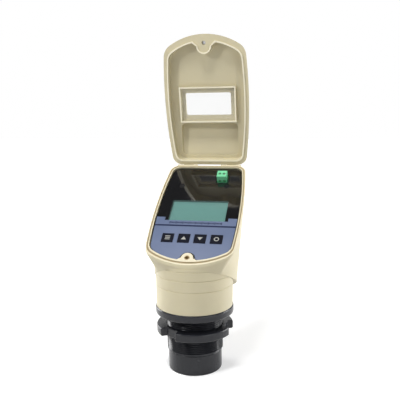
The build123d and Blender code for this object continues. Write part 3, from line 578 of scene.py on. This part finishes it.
def thread_tree(crest_share, root_share):
    """Node tree of the outside of a threaded tube, as a grid that is rolled up and grooved."""
    lengths = ("Radius", "Pitch", "Depth", "Bottom", "Top", "Run-out")
    tree, given = new_tree("process_thread", lengths, ("Around", "Rows"))
    bottom, top, run_out = given["Bottom"], given["Top"], given["Run-out"]
    grid = tree.nodes.new("GeometryNodeMeshGrid")
    tree.links.new(maths(tree, "ADD", given["Around"], 1), grid.inputs["Vertices X"])
    tree.links.new(maths(tree, "ADD", given["Rows"], 1), grid.inputs["Vertices Y"])
    place = split(tree, tree.nodes.new("GeometryNodeInputPosition").outputs[0])
    round_share = maths(tree, "ADD", place["X"], 0.5)
    up_share = maths(tree, "ADD", place["Y"], 0.5)
    height = maths(tree, "MULTIPLY_ADD", up_share, maths(tree, "SUBTRACT", top, bottom), bottom)
    turns = maths(tree, "SUBTRACT", maths(tree, "DIVIDE", height, given["Pitch"]), round_share)
    wave = maths(tree, "MULTIPLY", maths(tree, "PINGPONG", turns, 0.5), 2.0)
    groove = remap(tree, wave, crest_share, root_share)
    lower_end = maths(tree, "ADD", bottom, run_out)
    upper_end = maths(tree, "SUBTRACT", top, run_out)
    lower = remap(tree, height, bottom, lower_end, curve="SMOOTHSTEP")
    upper = remap(tree, height, top, upper_end, curve="SMOOTHSTEP")
    cut = maths(tree, "MULTIPLY", maths(tree, "MULTIPLY", lower, upper), groove)
    radius = maths(tree, "SUBTRACT", given["Radius"], maths(tree, "MULTIPLY", cut, given["Depth"]))
    bearing = maths(tree, "MULTIPLY", round_share, 2 * math.pi)
    across = maths(tree, "MULTIPLY", radius, maths(tree, "COSINE", bearing))
    deep = maths(tree, "MULTIPLY", radius, maths(tree, "SINE", bearing))
    roll = tree.nodes.new("GeometryNodeSetPosition")
    tree.links.new(grid.outputs["Mesh"], roll.inputs["Geometry"])
    tree.links.new(joined(tree, across, deep, height), roll.inputs["Position"])
    weld = tree.nodes.new("GeometryNodeMergeByDistance")
    weld.inputs["Distance"].default_value = 1e-6
    tree.links.new(roll.outputs[0], weld.inputs["Geometry"])
    finish_tree(tree, weld.outputs[0], given["Material"])
    return tree


def tick_tree(long_every, longer_by):
    """Node tree of a row of ticks, some of them longer at a steady step."""
    lengths = ("Length", "Tick Width", "Tick Height", "Thickness")
    tree, given = new_tree("tick_scale", lengths, ("Ticks",))
    row = tree.nodes.new("GeometryNodeMeshLine")
    row.mode = "END_POINTS"
    for socket, share in (("Start Location", -0.5), ("Offset", 0.5)):
        end = joined(tree, maths(tree, "MULTIPLY", given["Length"], share))
        tree.links.new(end, row.inputs[socket])
    tree.links.new(given["Ticks"], row.inputs["Count"])
    tick = tree.nodes.new("GeometryNodeMeshCube")
    size = joined(tree, given["Tick Width"], given["Tick Height"], given["Thickness"])
    tree.links.new(size, tick.inputs["Size"])
    index = tree.nodes.new("GeometryNodeInputIndex").outputs[0]
    is_long = maths(tree, "COMPARE", maths(tree, "MODULO", index, long_every), 0.0, 0.1)
    stretch = joined(tree, 1.0, maths(tree, "MULTIPLY_ADD", is_long, longer_by, 1.0), 1.0)
    spread = tree.nodes.new("GeometryNodeInstanceOnPoints")
    tree.links.new(row.outputs["Mesh"], spread.inputs["Points"])
    tree.links.new(tick.outputs["Mesh"], spread.inputs["Instance"])
    tree.links.new(stretch, spread.inputs["Scale"])
    finish_tree(tree, spread.outputs[0], given["Material"])
    return tree


def grow(tree, values):
    """The plain mesh that a node tree makes from its named values."""
    holder = show(tree.name, bpy.data.meshes.new(tree.name))
    modifier = holder.modifiers.new(tree.name, "NODES")
    modifier.node_group = tree
    for item in tree.interface.items_tree:
        if item.in_out == "INPUT":
            modifier[item.identifier] = values[item.name]
    return take_mesh(holder)


class TRANSMITTER_OT_finish_shell(bpy.types.Operator):
    """Rounds and finishes the beige housing and lid, with their pane, gasket and screws, and paints
    highlights on the rim and lid edges and shade on the gasket
    """

    bl_idname = "transmitter.finish_shell"
    bl_label = "Finish Shell"

    def execute(self, context):
        finishes = settings("finishes")
        shell = shell_plastic()
        # Painted highlight: the top of the rim and the screw boss get a lighter beige.
        rim = moulded("painted_highlight_rim", finishes.rim, rough=(0.34, 0.42))
        self.paint_rim_highlight(round_edges("housing", finishes.shell_edge, shell), rim)
        # Painted highlight: the edges of the lid's skirt and window frame get a light cream.
        lip_highlight = moulded("painted_highlight_lip", finishes.lip_highlight, rough=(0.28, 0.36))
        self.paint_lid_highlight(round_edges("lid", finishes.shell_edge, shell), lip_highlight)
        paint(see_through("lid_pane", (0.93, 0.95, 0.94), 0.10), "lid_window")
        # Painted shade: the rubber gasket takes the olive-brown of the shaded groove it lies in.
        shade_smooth_copy("lid_gasket", moulded("gasket_painted_shade", finishes.gasket, rough=(0.6, 0.75)))
        brass = moulded("insert_brass", (0.52, 0.40, 0.22), rough=(0.45, 0.6), metal=0.3)
        shade_smooth_copy("screw_insert", brass)
        steel = moulded(
            "plated_steel", (0.42, 0.42, 0.43), rough=(0.28, 0.40),
            grain=0.0003, depth=0.000008, metal=1.0,
        )
        round_edges("lid_screw", finishes.small_edge, steel)
        paint(steel, "hinge_pins", "board_screws", "flange_screws")
        rubber = moulded("black_rubber", (0.02, 0.02, 0.02), rough=(0.6, 0.75))
        paint(rubber, "lid_screw_seal", "housing_seal")
        return {"FINISHED"}

    def paint_lid_highlight(self, lid, highlighted):
        """Paints highlights in a light cream on the edges of the lid's locating skirt and window frame."""
        finishes = settings("finishes")
        lid.data.materials.append(highlighted)
        inward = Vector(joint("lid_screw_turn")["axis"])
        if inward.y > 0:
            inward = -inward
        hinge = Vector(joint("lid_hinge")["pos_m"])
        above_hinge = [
            v.co for v in lid.data.vertices
            if (v.co - hinge - inward * (v.co - hinge).dot(inward)).z > finishes.hinge_clear
        ]
        tip = max(place.dot(inward) for place in above_hinge)
        band = finishes.highlight_band
        self.paint_highlight_band(lid, inward, tip, -band, finishes.lip_depth - band)
        self.paint_highlight_band(lid, inward, tip, finishes.frame_below - band, finishes.frame_below + band)

    def paint_rim_highlight(self, housing, highlighted):
        """Paints a highlight in a lighter beige on the top of the sloped face's rim and the screw boss."""
        housing.data.materials.append(highlighted)
        out = SlopedFace().out
        band = settings("finishes").highlight_band
        self.paint_highlight_band(housing, out, max(v.co.dot(out) for v in housing.data.vertices), -band, band)

    def paint_highlight_band(self, piece, direction, top, near, far):
        """Paints a highlight on the faces of a piece that lie between two depths below its top, with the
        piece's second material.
        """
        for face in piece.data.polygons:
            depths = [top - piece.data.vertices[i].co.dot(direction) for i in face.vertices]
            if all(near < depth < far for depth in depths):
                face.material_index = 1


class TRANSMITTER_OT_finish_face(bpy.types.Operator):
    """Finishes the front panel, display, keypad film, keys and panel screws"""

    bl_idname = "transmitter.finish_face"
    bl_label = "Finish Face"

    def execute(self, context):
        finishes = settings("finishes")
        gloss = moulded(
            "gloss_panel", finishes.panel, rough=(0.03, 0.07),
            grain=0.004, depth=0.000004, spread=0.1, blotch=0.02, mirror=0.95,
        )
        shade_smooth_copy("front_panel", gloss)
        film = moulded(
            "keypad_film", finishes.film, rough=(0.30, 0.38), grain=0.0004, depth=0.00001, blotch=0.02
        )
        shade_smooth_copy("keypad_overlay", film)
        key = moulded(
            "key_plastic", finishes.key, rough=(0.55, 0.65),
            grain=0.0004, depth=0.00001, spread=0.05, mirror=0.1,
        )
        for name in ("menu", "up", "down", "enter"):
            round_edges(f"{name}_key", finishes.small_edge, key)
            paint(key, f"{name}_plunger")
        paint(see_through("display_cover", (0.16, 0.27, 0.25), 0.22), "display_window")
        glass = moulded(
            "liquid_crystal", finishes.display, rough=(0.05, 0.09), grain=0.003, depth=0.000003
        )
        paint(glass, "lcd_glass")
        paint(moulded("backlight_film", (0.7, 0.71, 0.7), rough=(0.4, 0.5)), "lcd_backlight")
        dark = moulded("blackened_screw", (0.025, 0.025, 0.028), rough=(0.25, 0.35), metal=0.8)
        round_edges("panel_screws", finishes.small_edge / 2, dark)
        return {"FINISHED"}


class TRANSMITTER_OT_finish_terminals(bpy.types.Operator):
    """Finishes the terminal block with its clamps and screws"""

    bl_idname = "transmitter.finish_terminals"
    bl_label = "Finish Terminals"

    def execute(self, context):
        finishes = settings("finishes")
        mint = moulded(
            "terminal_plastic", finishes.terminal, rough=(0.3, 0.4), grain=0.0005, depth=0.00001
        )
        round_edges("terminal_block", finishes.small_edge, mint)
        metal = moulded("clamp_metal", (0.45, 0.43, 0.38), rough=(0.3, 0.4), metal=1.0)
        paint(metal, "terminal_clamps")
        round_edges("terminal_screws", finishes.small_edge / 2, metal)
        return {"FINISHED"}


class TRANSMITTER_OT_finish_inside(bpy.types.Operator):
    """Finishes the boards, the transducer's stack and what else the housing hides"""

    bl_idname = "transmitter.finish_inside"
    bl_label = "Finish Inside"

    def execute(self, context):
        paint(board_finish(), "display_board", "power_board")
        foam = moulded("foam_resin", (0.6, 0.6, 0.55), rough=(0.7, 0.8), grain=0.001, depth=0.00005)
        paint(foam, "matching_layer")
        potted = ("damping_ring", "potting", "transducer_lead")
        hidden = (
            ("ferrite", (0.03, 0.03, 0.033), (0.5, 0.6), ("drive_transformer", "switch_cases")),
            ("capacitor_sleeve", (0.02, 0.03, 0.10), (0.25, 0.35), ("capacitors",)),
            ("connector_plastic", (0.72, 0.70, 0.62), (0.4, 0.5), ("lead_connector", "ribbon_connectors")),
            ("ribbon_jacket", (0.32, 0.33, 0.35), (0.45, 0.55), ("ribbon_cable",)),
            ("fired_ceramic", (0.52, 0.49, 0.42), (0.5, 0.6), ("piezo_disc",)),
            ("potting_rubber", (0.03, 0.03, 0.03), (0.55, 0.7), potted),
            ("backing_resin", (0.10, 0.09, 0.08), (0.5, 0.6), ("backing_disc",)),
        )
        for name, base, rough, nodes in hidden:
            paint(moulded(name, base, rough), *nodes)
        return {"FINISHED"}


class TRANSMITTER_OT_cut_thread(bpy.types.Operator):
    """Makes the process connection with its real thread, and finishes the nut and transducer cup"""

    bl_idname = "transmitter.cut_thread"
    bl_label = "Cut Thread"

    def execute(self, context):
        finishes, thread = settings("finishes"), settings("thread")
        nylon = moulded(
            "black_nylon", finishes.nylon, rough=(0.20, 0.28),
            grain=0.0005, depth=0.000008, spread=0.06, blotch=0.02, mirror=0.32,
        )
        seat = next(m for m in frame["record"]["mounts"] if m["name"] == "flange_seat")
        flange = seat["pos_m"][2]
        shape = merged("process_body")
        crest, bottom, top = self.measure_thread(shape, flange - thread.flange_clear)
        self.soften_flange(shape, flange, thread.flange_share * crest, finishes.nylon_edge)
        self.strip_thread(shape, crest, top + thread.chamfer)
        values = {
            "Radius": crest, "Pitch": thread.pitch, "Depth": thread.depth,
            "Bottom": bottom, "Top": top, "Run-out": thread.run_out, "Around": thread.around,
            "Rows": round((top - bottom) / thread.pitch * thread.rows), "Material": nylon,
        }
        shape.from_mesh(grow(thread_tree(thread.crest_share, thread.root_share), values))
        self.close_ends(shape)
        bmesh.ops.recalc_face_normals(shape, faces=shape.faces[:])
        mesh = settle(shape, "process_body_threaded", nylon)
        smooth_by_angle(mesh, thread_turn)
        seat_piece(show("process_body_threaded", mesh), "process_body")
        round_edges("lock_nut", finishes.nylon_edge, nylon)
        round_edges("transducer_cup", finishes.nylon_edge, nylon)
        return {"FINISHED"}

    def off_axis(self, corner):
        """Distance of a corner from the thread's axis."""
        return math.hypot(corner.co.x, corner.co.y)

    def measure_thread(self, shape, highest):
        """Radius, lowest and highest place of the plain thread below a height."""
        below = [(self.off_axis(v), v.co.z) for v in shape.verts if v.co.z < highest]
        crest = max(radius for radius, height in below)
        heights = [height for radius, height in below if radius > crest - same_radius]
        return crest, min(heights), max(heights)

    def soften_flange(self, shape, flange, least, edge):
        """Rounds the edges of the flange's chamfers, outside the least radius."""
        rim = [
            e for e in shape.edges
            if all(self.off_axis(v) > least and v.co.z > flange - same_height for v in e.verts)
            and len(e.link_faces) == 2 and e.calc_face_angle(0.0) > flange_turn
        ]
        bmesh.ops.bevel(shape, geom=rim, offset=edge, segments=2, profile=0.5, affect="EDGES")

    def strip_thread(self, shape, crest, highest):
        """Takes away the plain thread with the chamfers at its ends."""
        plain = [
            f for f in shape.faces
            if any(self.off_axis(v) > crest - same_radius for v in f.verts)
            and all(v.co.z < highest for v in f.verts)
        ]
        bmesh.ops.delete(shape, geom=plain, context="FACES")

    def close_ends(self, shape):
        """Joins the open rings of tube and thread, lower pair and upper pair."""
        loose = [(round(e.verts[0].co.z, 5), e) for e in shape.edges if len(e.link_faces) == 1]
        heights = sorted({height for height, edge in loose})
        if len(heights) != 4:
            raise RuntimeError(f"The thread's ends don't fit the tube: {heights}")
        for pair in (heights[:2], heights[2:]):
            bmesh.ops.bridge_loops(shape, edges=[edge for height, edge in loose if height in pair])


class TRANSMITTER_OT_finish_gland(bpy.types.Operator):
    """Finishes the cable gland on the back"""

    bl_idname = "transmitter.finish_gland"
    bl_label = "Finish Gland"

    def execute(self, context):
        finishes = settings("finishes")
        black = moulded(
            "gland_nylon", (0.028, 0.029, 0.032), rough=(0.35, 0.45),
            grain=0.0005, depth=0.000015, spread=0.06,
        )
        for node in ("gland_body", "gland_dome_nut"):
            round_edges(node, finishes.nylon_edge, black)
        paint(black, "gland_lock_nut")
        rubber = moulded("gland_rubber", (0.015, 0.015, 0.015), rough=(0.6, 0.75))
        shade_smooth_copy("gland_seal", rubber)
        paint(rubber, "gland_gasket")
        return {"FINISHED"}


class TRANSMITTER_OT_print_face(bpy.types.Operator):
    """Prints plain symbols on the keys, and a rule and a tick scale on the film"""

    bl_idname = "transmitter.print_face"
    bl_label = "Print Face"

    def execute(self, context):
        finishes, prints = settings("finishes"), settings("prints")
        face = SlopedFace()
        light = moulded("key_print", finishes.symbol, rough=(0.4, 0.5), grain=0.0003, depth=0.000004)
        for name, outlines in self.marks(prints.arrow).items():
            low, high = face.measure(f"{name}_key")
            centre = [(a + b) / 2 for a, b in zip(low, high)]
            place = face.matrix(centre[0], centre[1], high[2])
            printed(f"{name}_symbol", outlines, place, light, f"{name}_key")
        dark = moulded(
            "film_print", finishes.rule, rough=(0.55, 0.65), grain=0.0003, depth=0.000004, mirror=0.1
        )
        film = face.measure("keypad_overlay")[1][2]
        display = face.measure("display_window")[0][1]
        along = display - prints.rule_below
        half = face.half_width("keypad_overlay", along)
        line = [bar(0, 0, 2 * half, prints.rule_width)]
        printed("film_rule", line, face.matrix(0, along, film), dark, "body")
        values = {
            "Length": prints.scale_length, "Tick Width": prints.tick_width,
            "Tick Height": prints.tick_height, "Thickness": 2 * prints.thickness,
            "Ticks": prints.ticks, "Material": dark,
        }
        ticks = grow(tick_tree(prints.long_every, prints.longer_by), values)
        ticks.transform(face.matrix(0, display - prints.scale_below, film))
        scale = show("film_scale", ticks)
        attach(scale, "body")
        return {"FINISHED"}

    def marks(self, wide):
        """Outlines of the keys' symbols: three bars, an arrow up, an arrow down and a ring."""
        half = wide / 2
        stroke = wide * 0.17
        step = wide * 0.38
        foot = wide * 0.35
        tip = wide * 0.42
        return {
            "menu": [bar(0, y * step, wide, stroke) for y in (-1, 0, 1)],
            "up": [[(-half, -foot), (half, -foot), (0, tip)]],
            "down": [[(-half, foot), (0, -tip), (half, foot)]],
            "enter": ring(half, half - stroke),
        }


def lamp(name, place, target, width, power, mirrored=True):
    """A soft square lamp of a given width that looks at a point, and may be left out of mirror images."""
    light = bpy.data.lights.new(name, "AREA")
    light.energy = power
    light.size = width
    made = show(name, light)
    made.location = place
    made.rotation_euler = (Vector(target) - Vector(place)).to_track_quat("-Z", "Y").to_euler()
    made.visible_glossy = mirrored


class TRANSMITTER_OT_set_stage(bpy.types.Operator):
    """Sets the floor, the surrounding light, the lamps and the camera"""

    bl_idname = "transmitter.set_stage"
    bl_label = "Set Stage"

    def execute(self, context):
        studio = settings("studio")
        self.lay_floor(studio)
        self.light_sky(studio)
        middle = (cad_box[0] + cad_box[1]) / 2
        lamp("key_lamp", (-0.10, -0.50, 1.10), middle, width=0.22, power=studio.key_lamp, mirrored=False)
        lamp("edge_lamp", (-0.20, -0.22, 1.20), middle, width=0.12, power=studio.edge_lamp)
        lamp("left_lamp", (-0.55, -0.62, 0.62), middle, width=0.10, power=studio.left_lamp)
        lamp("right_lamp", (0.70, -0.55, 0.30), middle, width=0.60, power=studio.right_lamp)
        lamp("left_rim_lamp", (-0.75, 0.30, 0.28), middle, width=0.45, power=studio.rim_lamp)
        lamp("right_rim_lamp", (0.75, 0.35, 0.28), middle, width=0.45, power=studio.rim_lamp)
        self.aim_camera(studio)
        bpy.context.scene.view_settings.view_transform = "Standard"
        return {"FINISHED"}

    def lay_floor(self, studio):
        """A white floor that keeps the object's shadow."""
        finish, tree, shader = new_finish("floor_white")
        shader.inputs["Roughness"].default_value = 0.9
        shader.inputs["Emission Color"].default_value = (1, 1, 1, 1)
        path = tree.nodes.new("ShaderNodeLightPath").outputs
        seen = maths(tree, "MAXIMUM", path["Is Camera Ray"], path["Is Transmission Ray"])
        seen = maths(tree, "MAXIMUM", seen, path["Is Glossy Ray"])
        grey = remap(tree, seen, 0.0, 1.0, studio.floor_lit, studio.floor_seen)
        tree.links.new(grey, shader.inputs["Base Color"])
        away = tree.nodes.new("ShaderNodeVectorMath")
        away.operation = "LENGTH"
        tree.links.new(own_place(tree), away.inputs[0])
        glow = remap(
            tree, away.outputs["Value"], studio.glow_start, studio.glow_end,
            studio.floor_glow, studio.far_glow,
        )
        tree.links.new(maths(tree, "MULTIPLY", seen, glow), shader.inputs["Emission Strength"])
        shape = bmesh.new()
        bmesh.ops.create_grid(shape, x_segments=1, y_segments=1, size=studio.floor_half)
        floor = show("studio_floor", settle(shape, "studio_floor", finish))

    def light_sky(self, studio):
        """A white surround for the camera, glossy and clear surfaces, and a weaker one as light."""
        world = bpy.data.worlds.new("studio_sky")
        world.use_nodes = True
        tree = world.node_tree
        path = tree.nodes.new("ShaderNodeLightPath").outputs
        seen = maths(tree, "MAXIMUM", path["Is Camera Ray"], path["Is Transmission Ray"])
        view = split(tree, tree.nodes.new("ShaderNodeTexCoord").outputs["Generated"])
        surround = remap(tree, view["Z"], studio.wall_top, studio.ceiling_start, 1.0, studio.ceiling)
        glossy = maths(tree, "MULTIPLY", path["Is Glossy Ray"], surround)
        dull = maths(tree, "SUBTRACT", 1.0, path["Is Glossy Ray"])
        diffuse = maths(tree, "MULTIPLY", dull, studio.sky)
        bright = maths(tree, "MAXIMUM", seen, glossy)
        background = tree.nodes["Background"]
        background.inputs["Color"].default_value = (1, 1, 1, 1)
        tree.links.new(maths(tree, "MAXIMUM", bright, diffuse), background.inputs["Strength"])
        bpy.context.scene.world = world

    def aim_camera(self, studio):
        """The photograph's viewpoint."""
        ahead = Vector((
            -math.sin(studio.turn) * math.cos(studio.pitch),
            math.cos(studio.turn) * math.cos(studio.pitch),
            -math.sin(studio.pitch),
        ))
        ahead.rotate(Matrix.Rotation(studio.yaw, 3, "Z"))
        right = ahead.cross(Vector((0, 0, 1))).normalized()
        up = right.cross(ahead)
        turned_right = right * math.cos(studio.roll) + up * math.sin(studio.roll)
        turned_up = up * math.cos(studio.roll) - right * math.sin(studio.roll)
        turn = Matrix((turned_right, turned_up, -ahead)).transposed().to_4x4()
        place = Vector((
            studio.reach * math.sin(studio.turn), -studio.reach * math.cos(studio.turn), studio.height
        ))
        lens = bpy.data.cameras.new("photo_camera")
        lens.sensor_width = 36.0
        lens.lens = studio.lens
        camera = show("photo_camera", lens)
        camera.matrix_world = Matrix.Translation(place) @ turn
        bpy.context.scene.camera = camera


class TRANSMITTER_PT_looks(bpy.types.Panel):
    """Lists the steps and their settings"""

    bl_label = "Level Transmitter"
    bl_idname = "TRANSMITTER_PT_looks"
    bl_space_type = "VIEW_3D"
    bl_region_type = "UI"
    bl_category = "Transmitter"

    def draw(self, context):
        for step in steps:
            self.layout.operator(step.bl_idname)
        for name in groups:
            box = self.layout.box()
            group = settings(name)
            for prop in group.bl_rna.properties:
                if prop.identifier not in {"rna_type", "name"}:
                    box.prop(group, prop.identifier)


groups = {
    "finishes": FinishSettings,
    "thread": ThreadSettings,
    "prints": PrintSettings,
    "studio": StudioSettings,
}
steps = (
    TRANSMITTER_OT_set_stage,
    TRANSMITTER_OT_finish_shell,
    TRANSMITTER_OT_finish_face,
    TRANSMITTER_OT_finish_terminals,
    TRANSMITTER_OT_finish_inside,
    TRANSMITTER_OT_cut_thread,
    TRANSMITTER_OT_finish_gland,
    TRANSMITTER_OT_print_face,
)


def register():
    for group in groups.values():
        bpy.utils.register_class(group)
    for name, group in groups.items():
        setattr(bpy.types.Scene, name, PointerProperty(type=group))
    for step in steps:
        bpy.utils.register_class(step)
    bpy.utils.register_class(TRANSMITTER_PT_looks)


def unregister():
    bpy.utils.unregister_class(TRANSMITTER_PT_looks)
    for step in reversed(steps):
        bpy.utils.unregister_class(step)
    for name in groups:
        delattr(bpy.types.Scene, name)
    for group in reversed(list(groups.values())):
        bpy.utils.unregister_class(group)


def main():
    register()
    bpy.ops.transmitter.set_stage()
    bpy.ops.transmitter.finish_shell()
    bpy.ops.transmitter.finish_face()
    bpy.ops.transmitter.finish_terminals()
    bpy.ops.transmitter.finish_inside()
    bpy.ops.transmitter.cut_thread()
    bpy.ops.transmitter.finish_gland()
    bpy.ops.transmitter.print_face()


if __name__ == "__main__":
    main()
